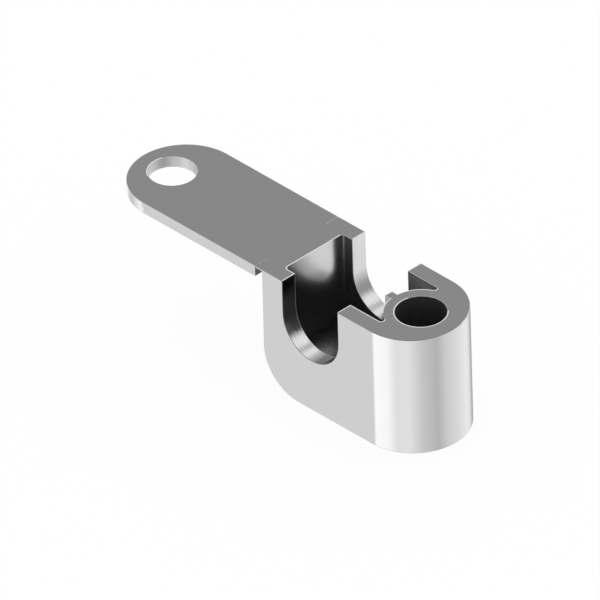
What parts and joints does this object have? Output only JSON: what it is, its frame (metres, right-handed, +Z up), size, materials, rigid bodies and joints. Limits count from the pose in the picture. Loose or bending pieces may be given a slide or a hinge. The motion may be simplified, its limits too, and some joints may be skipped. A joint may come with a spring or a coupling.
{
  "type": "pipe block clamp",
  "caption": "Fold-over pipe block clamp: a hollow block with a U saddle for one tube, a bored screw boss and a flat strap on a thin web that folds over the tube.",
  "frame": {"origin": "on the screw hole's axis, in the plane of the base face", "axes": "+Z up along the screw hole; the open strap points to -X; the tube lies along Y"},
  "size_m": [0.056, 0.015, 0.0177],
  "materials": {
    "block_clamp": "satin, bare metal"
  },
  "bodies": {
    "root": {"block_clamp": "block_clamp"}
  },
  "joints": []
}
